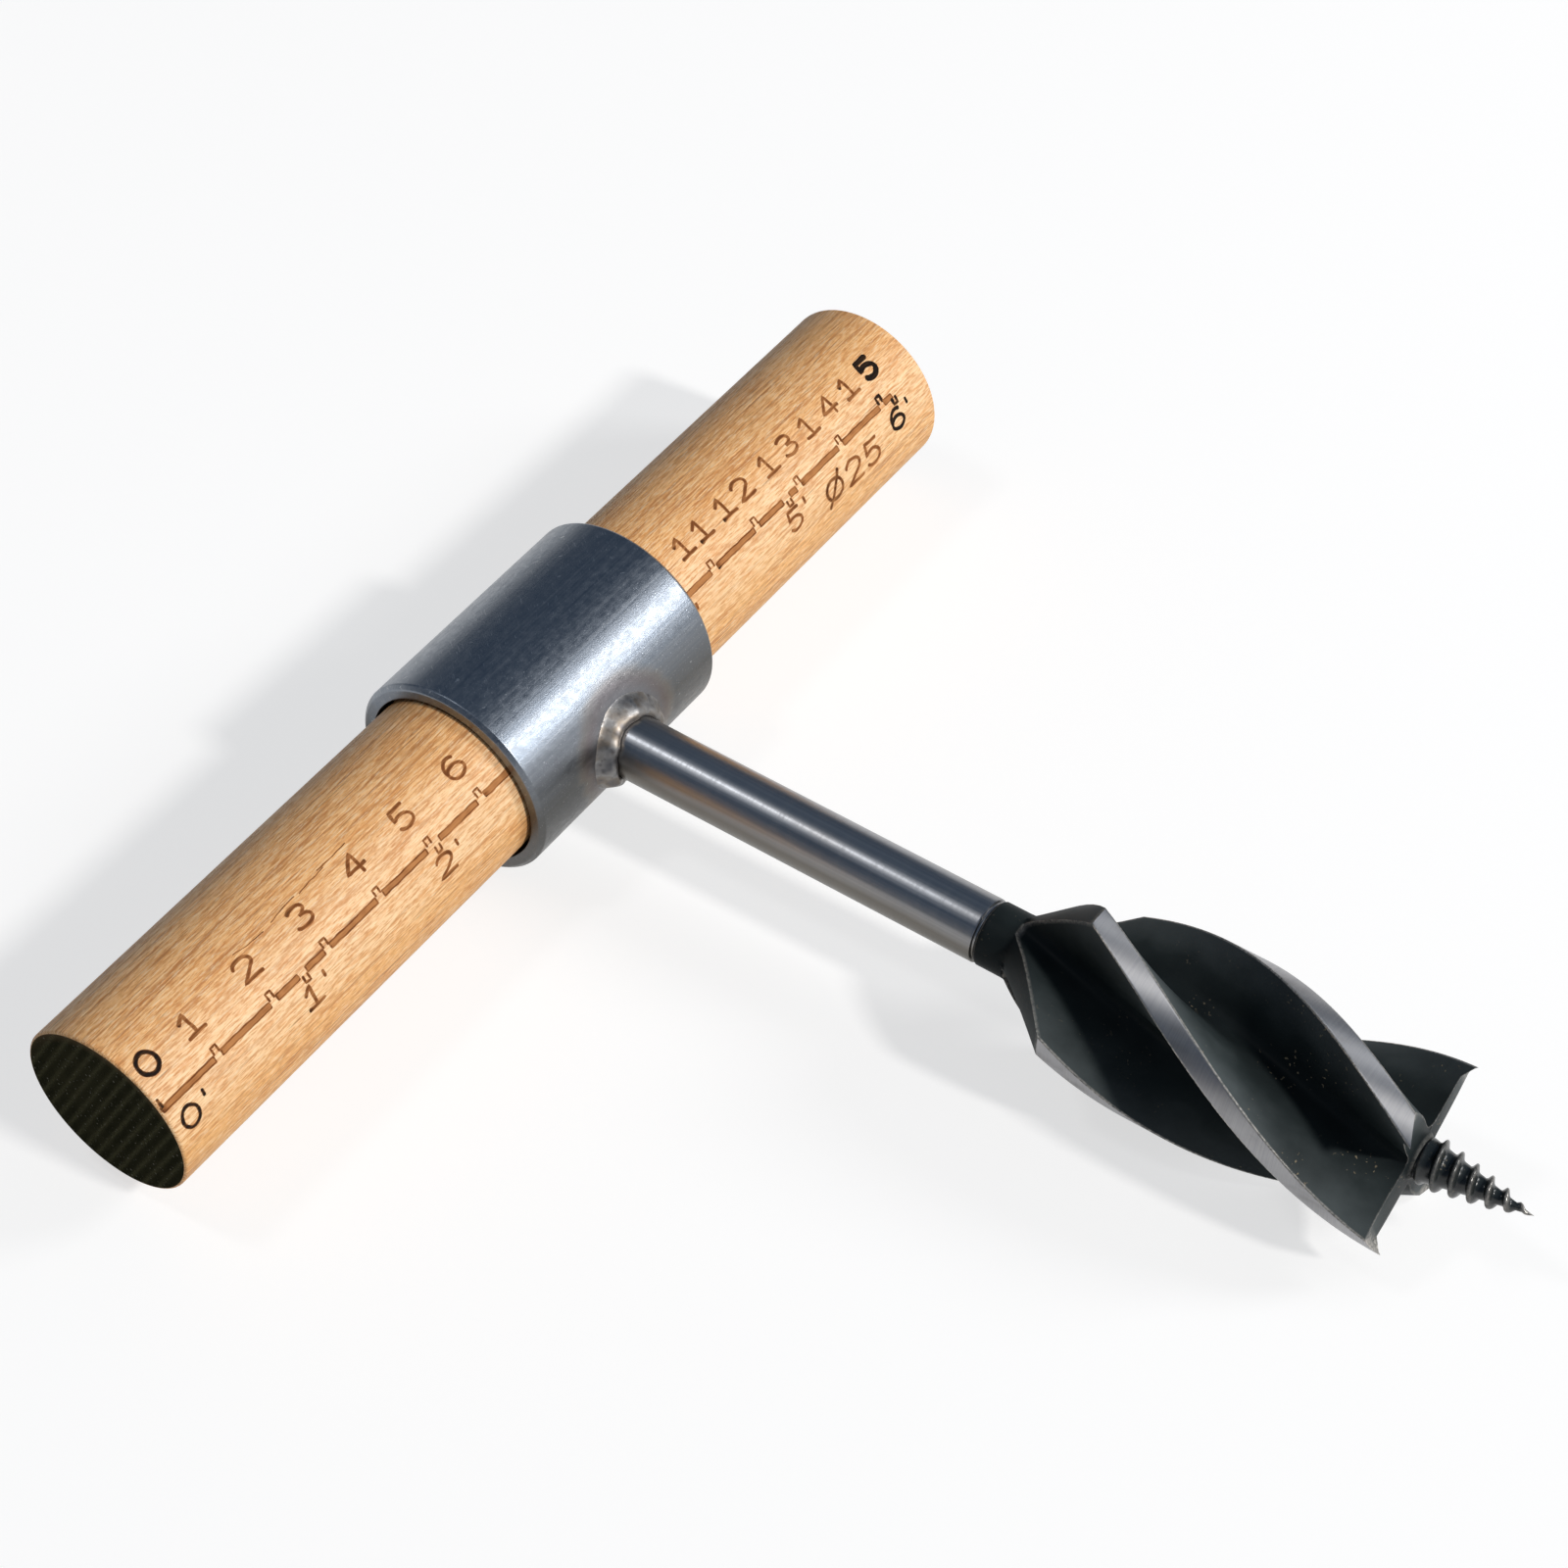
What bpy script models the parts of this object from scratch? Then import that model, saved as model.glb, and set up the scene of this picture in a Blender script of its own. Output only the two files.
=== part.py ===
"""Hand wood auger: a plain wooden handle slides through a steel eye, and the bit is welded to the eye.

Lengths are in metres. The tool lies on the plane z = 0, with the handle along X and the screw point towards
-Y. Distances along the bit are counted from the handle's axis to the screw point.
"""

import math

import bmesh
import bpy

MM = 0.001

# Wooden handle
HANDLE_LENGTH = 160.0 * MM
HANDLE_DIAMETER = 25.0 * MM
HANDLE_CHAMFER = 0.4 * MM

# Steel eye that the handle slides through
HANDLE_CLEARANCE = 0.5 * MM
EYE_WALL = 2.0 * MM
EYE_LENGTH = 37.5 * MM
EYE_CHAMFER = 0.6 * MM
EYE_OFFSET = 4.4 * MM

# Bright shank, set into the eye's wall and into the head's neck
SHANK_OFFSET = -0.5 * MM
SHANK_DIAMETER = 8.8 * MM
SHANK_LENGTH = 56.5 * MM
TENON_SHOULDER = 1.9 * MM
SEAT_GAP = 0.3 * MM

# Weld fillet between the shank and the eye
WELD_SPREAD = 2.8 * MM
WELD_HEIGHT = 1.6 * MM
WELD_CROWN = 0.15 * MM

# Black fluted head
HEAD_DIAMETER = 25.0 * MM
HEAD_LENGTH = 60.4 * MM
NECK_LENGTH = 4.6 * MM
NECK_CHAMFER = 0.4 * MM
CONE_LENGTH = 10.2 * MM
FLUTE_COUNT = 4
FLUTE_LEAD = 140.0 * MM
LAND_WIDTH = 3.2 * MM
CORE_STEP = 1.0 * MM
LEADING_FACE_ANGLE = math.radians(26.0)
LEADING_FACE_POWER = 2.5
TRAILING_FACE_POWER = 2.3
LEADING_EDGE_AT_LIPS = math.radians(31.4)

# Cutting lips and spurs at the head's front
LIP_RELIEF_ANGLE = math.radians(4.0)
SPUR_HEIGHT = 1.4 * MM
SPUR_THICKNESS = 1.1 * MM
HUB_STEP = 0.2 * MM
HUB_CHAMFER = 0.4 * MM

# Lead screw
SCREW_LENGTH = 14.4 * MM
THREAD_PITCH = 2.2 * MM
THREAD_DEPTH = 0.8 * MM
THREAD_CREST_SHARE = 0.16
THREAD_FLANK_SHARE = 0.22
THREAD_START_SHARE = 0.6
STEM_SHOULDER = 1.0 * MM
STEM_LENGTH = 6.0 * MM

# Facets
HANDLE_SIDES = 48
EYE_SIDES = 64
SHANK_SIDES = 32
WELD_SIDES = 36
TRAILING_STEPS = 6
LAND_STEPS = 2
LEADING_STEPS = 6
CONE_RINGS = 6
FLUTE_RINGS = 26
LIP_RINGS = 3
THREAD_SIDES = 20
MERGE_DISTANCE = 0.001 * MM
SHARP_ANGLE = math.radians(35.0)

# Radii
HANDLE_RADIUS = HANDLE_DIAMETER / 2
BORE_RADIUS = HANDLE_RADIUS + HANDLE_CLEARANCE
EYE_RADIUS = BORE_RADIUS + EYE_WALL
SHANK_RADIUS = SHANK_DIAMETER / 2
TENON_RADIUS = SHANK_RADIUS - TENON_SHOULDER
HEAD_RADIUS = HEAD_DIAMETER / 2
CORE_RADIUS = SHANK_RADIUS - CORE_STEP
LIP_INNER_RADIUS = CORE_RADIUS - HUB_STEP
HUB_RADIUS = LIP_INNER_RADIUS - HUB_CHAMFER
STEM_RADIUS = HUB_RADIUS - STEM_SHOULDER

# Stations along the bit, from the handle's axis
SHANK_SEAT = BORE_RADIUS + SEAT_GAP
HEAD_START = EYE_RADIUS + SHANK_LENGTH
TENON_LENGTH = NECK_LENGTH - 2 * SEAT_GAP
CONE_START = HEAD_START + NECK_LENGTH
LIP_STATION = HEAD_START + HEAD_LENGTH
HUB_STATION = LIP_STATION + HUB_CHAMFER
SCREW_START = HUB_STATION + SEAT_GAP
SCREW_TIP = SCREW_START + SCREW_LENGTH

# Angles of one blade, from its leading edge: the land trails behind it, then the trailing face
BLADE_ANGLE = 2 * math.pi / FLUTE_COUNT
LAND_ANGLE = LAND_WIDTH / HEAD_RADIUS
TRAILING_FACE_ANGLE = BLADE_ANGLE - LAND_ANGLE - LEADING_FACE_ANGLE
TWIST_RATE = 2 * math.pi / FLUTE_LEAD

# The eye and the head's front both touch the plane z = 0, and the origin is the middle of the box's base
REST_TILT = math.asin((EYE_RADIUS - HEAD_RADIUS) / (LIP_STATION + SPUR_HEIGHT))
HANDLE_AXIS_Y = (SCREW_TIP * math.cos(REST_TILT) - EYE_RADIUS) / 2
HANDLE_AXIS_Z = EYE_RADIUS


def clear_scene():
    for old in list(bpy.data.objects):
        bpy.data.objects.remove(old, do_unlink=True)


def make_material(name, colour, roughness, metallic):
    material = bpy.data.materials.new(name)
    material.use_nodes = True
    shader = material.node_tree.nodes["Principled BSDF"]
    shader.inputs["Base Color"].default_value = (*colour, 1.0)
    shader.inputs["Roughness"].default_value = roughness
    shader.inputs["Metallic"].default_value = metallic
    return material


def make_axis(name, location, rotation):
    """An empty that carries pieces: their local Z runs along its axis."""
    axis = bpy.data.objects.new(name, None)
    axis.location = location
    axis.rotation_euler = rotation
    bpy.context.scene.collection.objects.link(axis)
    return axis


def add_piece(name, bm, material, parent):
    mesh = bpy.data.meshes.new(name)
    bmesh.ops.recalc_face_normals(bm, faces=bm.faces)
    bm.to_mesh(mesh)
    bm.free()
    mesh.shade_smooth()
    mesh.set_sharp_from_angle(angle=SHARP_ANGLE)
    mesh.materials.append(material)
    piece = bpy.data.objects.new(name, mesh)
    piece.parent = parent
    bpy.context.scene.collection.objects.link(piece)
    return piece


def circle(radius, station, sides):
    """A ring of points round local Z, with one point at -Y."""
    angles = [2 * math.pi * i / sides - math.pi / 2 for i in range(sides)]
    return [(radius * math.cos(a), radius * math.sin(a), station) for a in angles]


def skin(rings, closed=False):
    """Faces between neighbouring rings. A ring of one point is a pole, and open ends are capped flat."""
    bm = bmesh.new()
    rows = [[bm.verts.new(point) for point in ring] for ring in rings]
    pairs = list(zip(rows, rows[1:]))
    if closed:
        pairs.append((rows[-1], rows[0]))
    for row, after in pairs:
        for i in range(max(len(row), len(after))):
            corners = [row[i % len(row)], row[(i + 1) % len(row)]]
            corners += [after[(i + 1) % len(after)], after[i % len(after)]]
            bm.faces.new(list(dict.fromkeys(corners)))
    if not closed:
        for row in (rows[0], rows[-1]):
            if len(row) > 2:
                bm.faces.new(row)
    bmesh.ops.remove_doubles(bm, verts=bm.verts, dist=MERGE_DISTANCE)
    return bm


def turned(outline, sides, closed=False):
    """A turned piece from (station, radius) points; a radius of zero is a pole."""
    rings = [circle(r, z, sides) if r > 0 else [(0, 0, z)] for z, r in outline]
    return skin(rings, closed)


def build_handle(parent, material):
    half = HANDLE_LENGTH / 2
    rim = HANDLE_RADIUS - HANDLE_CHAMFER
    outline = [
        (-half, rim),
        (-half + HANDLE_CHAMFER, HANDLE_RADIUS),
        (half - HANDLE_CHAMFER, HANDLE_RADIUS),
        (half, rim),
    ]
    return add_piece("handle", turned(outline, HANDLE_SIDES), material, parent)


def build_eye_tube(parent, material, bit_axis):
    """A tube with chamfered rims and a round hole in its wall for the shank."""
    half = EYE_LENGTH / 2
    outline = [
        (-half, BORE_RADIUS),
        (-half, EYE_RADIUS - EYE_CHAMFER),
        (-half + EYE_CHAMFER, EYE_RADIUS),
        (half - EYE_CHAMFER, EYE_RADIUS),
        (half, EYE_RADIUS - EYE_CHAMFER),
        (half, BORE_RADIUS),
    ]
    tube = add_piece("eye_tube", turned(outline, EYE_SIDES, closed=True), material, parent)

    hole_outline = [(0.0, SHANK_RADIUS + SEAT_GAP), (2 * EYE_RADIUS, SHANK_RADIUS + SEAT_GAP)]
    cutter = add_piece("shank_hole", turned(hole_outline, SHANK_SIDES), material, bit_axis)
    cutter.hide_render = True
    cutter.display_type = "WIRE"
    cut = tube.modifiers.new("shank_hole", "BOOLEAN")
    cut.operation = "DIFFERENCE"
    cut.solver = "EXACT"
    cut.object = cutter
    return tube


def build_shank(parent, material):
    """A round bar with a tenon that enters the head's neck."""
    shoulder = HEAD_START - SEAT_GAP
    outline = [
        (SHANK_SEAT, SHANK_RADIUS),
        (shoulder, SHANK_RADIUS),
        (shoulder, TENON_RADIUS),
        (HEAD_START + TENON_LENGTH, TENON_RADIUS),
    ]
    return add_piece("shank", turned(outline, SHANK_SIDES), material, parent)


def eye_surface(radius, angle):
    """Station of the eye's outside at a distance and an angle round the bit; local X runs along the eye."""
    across = radius * math.sin(angle)
    return math.sqrt(EYE_RADIUS**2 - across**2)


def build_weld_bead(parent, material):
    """A ring that fills the corner between shank and eye, with a slightly domed face."""
    inside = SHANK_RADIUS + SEAT_GAP
    toe = SHANK_RADIUS + WELD_SPREAD
    middle = (inside + toe) / 2
    sections = []
    for i in range(WELD_SIDES):
        angle = 2 * math.pi * i / WELD_SIDES
        foot = eye_surface(inside, angle) + SEAT_GAP
        toe_foot = eye_surface(toe, angle) + SEAT_GAP
        top = foot + WELD_HEIGHT
        face = (toe_foot + top) / 2
        section = [
            (inside, foot),
            (toe, toe_foot),
            (middle + WELD_CROWN, face + WELD_CROWN),
            (inside, top),
        ]
        sections.append([(r * math.cos(angle), r * math.sin(angle), z) for r, z in section])
    return add_piece("weld_bead", skin(sections, closed=True), material, parent)


def blade_section():
    """(angle from the leading edge, radius) from one flute's floor over the blade to the next floor."""
    depth = HEAD_RADIUS - CORE_RADIUS
    points = []
    for i in range(TRAILING_STEPS):
        share = i / TRAILING_STEPS
        angle = -LAND_ANGLE - TRAILING_FACE_ANGLE * (1 - share)
        points.append((angle, CORE_RADIUS + depth * share**TRAILING_FACE_POWER))
    for i in range(LAND_STEPS):
        points.append((-LAND_ANGLE * (1 - i / LAND_STEPS), HEAD_RADIUS))
    for i in range(LEADING_STEPS):
        share = 1 - i / LEADING_STEPS
        angle = LEADING_FACE_ANGLE * (1 - share)
        points.append((angle, CORE_RADIUS + depth * share**LEADING_FACE_POWER))
    return points


def front_station(angle, radius):
    """Where the head's front lies: the lips fall away behind the leading edge, with spurs on the rim."""
    behind = max(0.0, -angle)
    out = (radius - LIP_INNER_RADIUS) / (HEAD_RADIUS - LIP_INNER_RADIUS)
    relief = math.tan(LIP_RELIEF_ANGLE) * HEAD_RADIUS * behind * out
    rim = max(0.0, 1 - (HEAD_RADIUS - radius) / SPUR_THICKNESS)
    spur = SPUR_HEIGHT * rim * max(0.0, 1 - behind / LAND_ANGLE)
    return LIP_STATION - relief + spur


def blank_radius(station):
    """Radius of the turned blank behind the flutes: a neck, then a cone up to the full diameter."""
    share = (station - CONE_START) / CONE_LENGTH
    return SHANK_RADIUS + (HEAD_RADIUS - SHANK_RADIUS) * min(1.0, max(0.0, share))


def head_column(angle, radius):
    """(radius, station) points of one line along the head, from the neck over the front to the hub."""
    start = HEAD_START + NECK_CHAMFER
    run_out = CONE_START + CONE_LENGTH * max(0.0, radius - SHANK_RADIUS) / (HEAD_RADIUS - SHANK_RADIUS)
    front = front_station(angle, radius)
    spur_foot = max(CORE_RADIUS, min(radius, HEAD_RADIUS - SPUR_THICKNESS))
    column = [(SHANK_RADIUS - NECK_CHAMFER, HEAD_START)]
    for i in range(CONE_RINGS):
        station = start + (run_out - start) * i / CONE_RINGS
        column.append((blank_radius(station), station))
    for i in range(FLUTE_RINGS + 1):
        column.append((radius, run_out + (front - run_out) * i / FLUTE_RINGS))
    for i in range(LIP_RINGS + 1):
        inward = spur_foot + (LIP_INNER_RADIUS - spur_foot) * i / LIP_RINGS
        column.append((inward, front_station(angle, inward)))
    column.append((HUB_RADIUS, HUB_STATION))
    return column


def build_auger_head(parent, material):
    """Four twisted blades on a core, with sockets for the shank's tenon and the screw's stem."""
    blade = blade_section()
    columns = []
    for flute in range(FLUTE_COUNT):
        for angle, radius in blade:
            bearing = math.pi / 2 + LEADING_EDGE_AT_LIPS + flute * BLADE_ANGLE + angle
            column = []
            for r, station in head_column(angle, radius):
                turn = bearing + TWIST_RATE * (station - LIP_STATION)
                column.append((r * math.cos(turn), r * math.sin(turn), station))
            columns.append(column)
    outside = [list(ring) for ring in zip(*columns)]

    socket = TENON_RADIUS + SEAT_GAP
    socket_floor = HEAD_START + TENON_LENGTH + SEAT_GAP
    stem_socket = STEM_RADIUS + SEAT_GAP
    stem_floor = SCREW_START - STEM_LENGTH - SEAT_GAP
    rear = [[(0, 0, socket_floor)]]
    rear.append(circle_beside(outside[0], socket, socket_floor))
    rear.append(circle_beside(outside[0], socket, HEAD_START))
    front = [circle_beside(outside[-1], stem_socket, HUB_STATION)]
    front.append(circle_beside(outside[-1], stem_socket, stem_floor))
    front.append([(0, 0, stem_floor)])
    return add_piece("auger_head", skin(rear + outside + front), material, parent)


def circle_beside(ring, radius, station):
    """A round ring whose points have the same bearings as those of another ring."""
    angles = [math.atan2(y, x) for x, y, z in ring]
    return [(radius * math.cos(a), radius * math.sin(a), station) for a in angles]


def build_lead_screw(parent, material):
    """A tapered screw whose thread is one helical ridge, on a stem that enters the hub."""
    # The ridge as (share of the pitch, share of the thread's depth)
    rise = THREAD_START_SHARE - THREAD_CREST_SHARE / 2
    fall = THREAD_START_SHARE + THREAD_CREST_SHARE / 2
    ridge = [(rise - THREAD_FLANK_SHARE, 0.0), (rise, 1.0), (fall, 1.0), (fall + THREAD_FLANK_SHARE, 0.0)]
    steps = len(ridge)
    turns = math.ceil(SCREW_LENGTH / THREAD_PITCH) + 3

    def thread_point(turn, step, side):
        share, height = ridge[step]
        along = THREAD_PITCH * (turn - 2 + share + side / THREAD_SIDES)
        along = min(SCREW_LENGTH, max(0.0, along))
        fade = min(1.0, 2 * along / THREAD_PITCH, (SCREW_LENGTH - along) / (2 * THREAD_PITCH))
        root = HUB_RADIUS * (1 - along / SCREW_LENGTH)
        radius = root + THREAD_DEPTH * height * max(0.0, fade)
        angle = 2 * math.pi * side / THREAD_SIDES
        return (radius * math.cos(angle), radius * math.sin(angle), SCREW_START + along)

    bm = bmesh.new()
    rows = [(turn, step) for turn in range(turns + 1) for step in range(steps)]
    grid = [[bm.verts.new(thread_point(*row, side)) for side in range(THREAD_SIDES)] for row in rows]
    for i in range(len(rows) - 1):
        for side in range(THREAD_SIDES):
            wraps = side == THREAD_SIDES - 1
            here, beyond = (i + steps, i + steps + 1) if wraps else (i, i + 1)
            if beyond < len(rows):
                next_side = (side + 1) % THREAD_SIDES
                corners = [grid[i][side], grid[here][next_side], grid[beyond][next_side], grid[i + 1][side]]
                bm.faces.new(corners)
    stem_end = SCREW_START - STEM_LENGTH
    base_angles = [2 * math.pi * side / THREAD_SIDES for side in range(THREAD_SIDES)]
    rings = []
    for radius, station in ((HUB_RADIUS, SCREW_START), (STEM_RADIUS, SCREW_START), (STEM_RADIUS, stem_end)):
        ring = [bm.verts.new((radius * math.cos(a), radius * math.sin(a), station)) for a in base_angles]
        rings.append(ring)
    for row, after in zip(rings, rings[1:]):
        for side in range(THREAD_SIDES):
            next_side = (side + 1) % THREAD_SIDES
            bm.faces.new([row[side], row[next_side], after[next_side], after[side]])
    bm.faces.new(rings[-1])
    bmesh.ops.remove_doubles(bm, verts=bm.verts, dist=MERGE_DISTANCE)
    return add_piece("lead_screw", bm, material, parent)


def main():
    clear_scene()
    wood = make_material("beech_wood", (0.62, 0.40, 0.20), 0.6, 0.0)
    tube_steel = make_material("brushed_steel", (0.42, 0.44, 0.47), 0.32, 1.0)
    bar_steel = make_material("ground_steel", (0.45, 0.46, 0.48), 0.28, 1.0)
    weld_steel = make_material("weld_metal", (0.38, 0.36, 0.34), 0.4, 1.0)
    black_steel = make_material("black_oxide_steel", (0.02, 0.022, 0.024), 0.4, 0.6)
    screw_steel = make_material("black_screw_steel", (0.025, 0.026, 0.03), 0.35, 0.7)

    handle_axis = make_axis("handle_axis", (0, HANDLE_AXIS_Y, HANDLE_AXIS_Z), (0, math.pi / 2, 0))
    eye_place = (EYE_OFFSET, HANDLE_AXIS_Y, HANDLE_AXIS_Z)
    eye_axis = make_axis("eye_axis", eye_place, (0, math.pi / 2, 0))
    bit_place = (EYE_OFFSET + SHANK_OFFSET, HANDLE_AXIS_Y, HANDLE_AXIS_Z)
    bit_axis = make_axis("bit_axis", bit_place, (math.pi / 2 + REST_TILT, 0, 0))

    build_handle(handle_axis, wood)
    build_eye_tube(eye_axis, tube_steel, bit_axis)
    build_weld_bead(bit_axis, weld_steel)
    build_shank(bit_axis, bar_steel)
    build_auger_head(bit_axis, black_steel)
    build_lead_screw(bit_axis, screw_steel)
    bpy.context.view_layer.update()


main()
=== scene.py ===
"""Looks for the hand wood auger: finer meshes, materials, scale marks, light and camera."""

import math

import bmesh
import bpy
from mathutils import Matrix, Vector, noise


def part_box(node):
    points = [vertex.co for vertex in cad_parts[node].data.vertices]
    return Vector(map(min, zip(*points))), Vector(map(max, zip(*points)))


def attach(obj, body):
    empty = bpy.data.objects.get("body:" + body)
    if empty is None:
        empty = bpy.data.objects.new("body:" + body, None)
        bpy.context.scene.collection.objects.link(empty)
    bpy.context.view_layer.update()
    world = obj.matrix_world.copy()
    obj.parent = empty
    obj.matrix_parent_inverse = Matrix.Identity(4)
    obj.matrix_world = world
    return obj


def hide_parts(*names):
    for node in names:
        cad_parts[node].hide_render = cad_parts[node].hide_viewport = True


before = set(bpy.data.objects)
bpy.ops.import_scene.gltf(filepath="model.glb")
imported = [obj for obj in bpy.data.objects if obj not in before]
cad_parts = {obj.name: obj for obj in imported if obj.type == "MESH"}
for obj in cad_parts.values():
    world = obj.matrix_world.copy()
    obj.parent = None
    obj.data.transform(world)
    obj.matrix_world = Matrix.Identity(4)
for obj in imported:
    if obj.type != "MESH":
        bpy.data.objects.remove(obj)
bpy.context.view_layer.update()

MM = 0.001

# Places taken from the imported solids
handle_low, handle_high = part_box("handle")
eye_low, eye_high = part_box("eye_tube")
shank_low, shank_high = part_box("shank")
AXIS_Y = (handle_low.y + handle_high.y) / 2
AXIS_Z = (handle_low.z + handle_high.z) / 2
EYE_X = (eye_low.x + eye_high.x) / 2
BIT_X = (shank_low.x + shank_high.x) / 2

# Sizes in millimetres and angles in radians, most of them the same as in the solids
HANDLE_RADIUS = 12.5
HANDLE_LENGTH = 160.0
HANDLE_ROUNDING = 0.45
BORE_RADIUS = 13.0
EYE_RADIUS = 15.0
EYE_LENGTH = 37.5
EYE_CHAMFER = 0.6
SHANK_RADIUS = 4.4
SHANK_OFFSET = -0.5
SHANK_SEAT = 13.4
SEAM_WIDTH = 0.3
SEAM_DEPTH = 0.5
WELD_TOE_RADIUS = 7.2
WELD_HEIGHT = 1.9
HEAD_START = 71.5
HEAD_RADIUS = 12.5
NECK_CHAMFER = 0.4
CONE_START = 76.1
CONE_LENGTH = 10.2
LIP_STATION = 131.9
CORE_RADIUS = 3.4
LIP_INNER_RADIUS = 3.2
HUB_RADIUS = 2.8
HUB_STATION = 132.3
SCREW_START = 132.6
SCREW_LENGTH = 14.4
FLUTE_COUNT = 4
BLADE_ANGLE = 2 * math.pi / FLUTE_COUNT
LAND_WIDTH = 3.2
LAND_ANGLE = LAND_WIDTH / HEAD_RADIUS
LEADING_FACE_ANGLE = math.radians(26.0)
TRAILING_FACE_ANGLE = BLADE_ANGLE - LAND_ANGLE - LEADING_FACE_ANGLE
LEADING_FACE_POWER = 2.5
TRAILING_FACE_POWER = 2.3
LEADING_EDGE_AT_LIPS = math.radians(31.4)
TWIST_PITCH = 140.0
TWIST_RATE = 2 * math.pi / TWIST_PITCH
LIP_RELIEF = math.tan(math.radians(4.0))
FILLET_PASSES = 60
FILLET_REACH = 5.0
SPUR_HEIGHT = 1.4
SPUR_THICKNESS = 1.1
THREAD_PITCH = 2.2
THREAD_DEPTH = 0.8
THREAD_START_SHARE = 0.6
REST_TILT = math.asin((EYE_RADIUS - HEAD_RADIUS) / (LIP_STATION + SPUR_HEIGHT))

handle_place = Matrix.Translation((0, AXIS_Y, AXIS_Z))
eye_place = Matrix.Translation((EYE_X, AXIS_Y, AXIS_Z))
bit_turn = Matrix.Rotation(math.pi / 2 + REST_TILT, 4, "X")
bit_place = Matrix.Translation((BIT_X, AXIS_Y, AXIS_Z)) @ bit_turn

# Painted sheen: the wood is painted palest at this angle from the handle's top towards the bit, where the
# key light falls on it
SHEEN_TURN = math.radians(55)

# Painted highlight: where the sawn end's rim grows lighter on top, as light catching its edge: distances
# from the handle's axis and heights over it, in metres
LIT_RIM_OUT = (0.0108, 0.0123)
LIT_RIM_UP = (0.001, 0.009)

# Painted reflection: heights over the axis, in metres, where the dark underside, painted as the reflection
# of a dark ground, starts and is full
EYE_DARK_REFLECTION = (0.0085, 0.0010)
SHANK_DARK_REFLECTION = (0.0027, 0.0004)
DARK_REFLECTION_SHARE = 0.85

# Where the weld's heat tint fades on the eye's front: distances from the shank's axis, in metres
HEAT_REACH = (0.0068, 0.0105)
HEAT_FACE = -0.006


# Sockets of the Mix node for colours, whose names aren't unique
MIX_SHARE, MIX_FIRST, MIX_SECOND, MIX_RESULT = 0, 6, 7, 2


class Graph:
    """Helpers that add nodes to one node tree and link them."""

    def __init__(self, owner, coordinates):
        owner.use_nodes = True
        self.tree = owner.node_tree
        self.place = self.add("ShaderNodeTexCoord").outputs[coordinates]

    def add(self, kind, **settings):
        node = self.tree.nodes.new(kind)
        for key, value in settings.items():
            setattr(node, key, value)
        return node

    def put(self, socket, value):
        if isinstance(value, bpy.types.NodeSocket):
            self.tree.links.new(value, socket)
        elif isinstance(value, tuple) and socket.type == "RGBA":
            socket.default_value = (*value, 1.0)
        else:
            socket.default_value = value

    def ramp(self, value, *stops):
        node = self.add("ShaderNodeValToRGB")
        self.put(node.inputs["Fac"], value)
        points = node.color_ramp.elements
        while len(points) < len(stops):
            points.new(0.5)
        for point, (position, colour) in zip(points, stops):
            point.position = position
            point.color = (*colour, 1.0)
        return node.outputs["Color"]

    def mix(self, share, first, second):
        node = self.add("ShaderNodeMix", data_type="RGBA")
        self.put(node.inputs[MIX_SHARE], share)
        self.put(node.inputs[MIX_FIRST], first)
        self.put(node.inputs[MIX_SECOND], second)
        return node.outputs[MIX_RESULT]

    def math(self, operation, first, second=0.0, clamp=False):
        node = self.add("ShaderNodeMath", operation=operation, use_clamp=clamp)
        self.put(node.inputs[0], first)
        self.put(node.inputs[1], second)
        return node.outputs[0]

    def spread(self, value, low, high, to_low, to_high):
        node = self.add("ShaderNodeMapRange")
        self.put(node.inputs["Value"], value)
        node.inputs["From Min"].default_value = low
        node.inputs["From Max"].default_value = high
        node.inputs["To Min"].default_value = to_low
        node.inputs["To Max"].default_value = to_high
        return node.outputs["Result"]

    def axes(self):
        node = self.add("ShaderNodeSeparateXYZ")
        self.put(node.inputs[0], self.place)
        return node.outputs

    def distance(self, first, second):
        squares = [self.math("MULTIPLY", side, side) for side in (first, second)]
        return self.math("SQRT", self.math("ADD", *squares))

    def seen(self):
        """1 for rays that show the background itself: those of the camera, of gloss and of glass."""
        path = self.add("ShaderNodeLightPath").outputs
        shown = self.math("MAXIMUM", path["Is Camera Ray"], path["Is Glossy Ray"])
        return self.math("MAXIMUM", shown, path["Is Transmission Ray"])


class Shader(Graph):
    """A material built from nodes round one Principled shader."""

    def __init__(self, name):
        self.material = bpy.data.materials.new(name)
        super().__init__(self.material, "Object")
        self.surface = self.tree.nodes["Principled BSDF"]

    def set(self, **values):
        for key, value in values.items():
            self.put(self.surface.inputs[key.replace("_", " ")], value)

    def stretched(self, scale, turn=(0, 0, 0)):
        node = self.add("ShaderNodeMapping", vector_type="TEXTURE")
        self.put(node.inputs["Vector"], self.place)
        node.inputs["Scale"].default_value = [1 / number for number in scale]
        node.inputs["Rotation"].default_value = turn
        return node.outputs["Vector"]

    def noise(self, scale, turn=(0, 0, 0), detail=2.0, rough=0.5):
        node = self.add("ShaderNodeTexNoise")
        self.put(node.inputs["Vector"], self.stretched(scale, turn))
        node.inputs["Scale"].default_value = 1.0
        node.inputs["Detail"].default_value = detail
        node.inputs["Roughness"].default_value = rough
        return node.outputs["Fac"]

    def attribute(self, name):
        return self.add("ShaderNodeAttribute", attribute_name=name).outputs["Fac"]

    def bump(self, height, strength, distance):
        node = self.add("ShaderNodeBump")
        node.inputs["Strength"].default_value = strength
        node.inputs["Distance"].default_value = distance
        self.put(node.inputs["Height"], height)
        self.put(self.surface.inputs["Normal"], node.outputs["Normal"])


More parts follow.
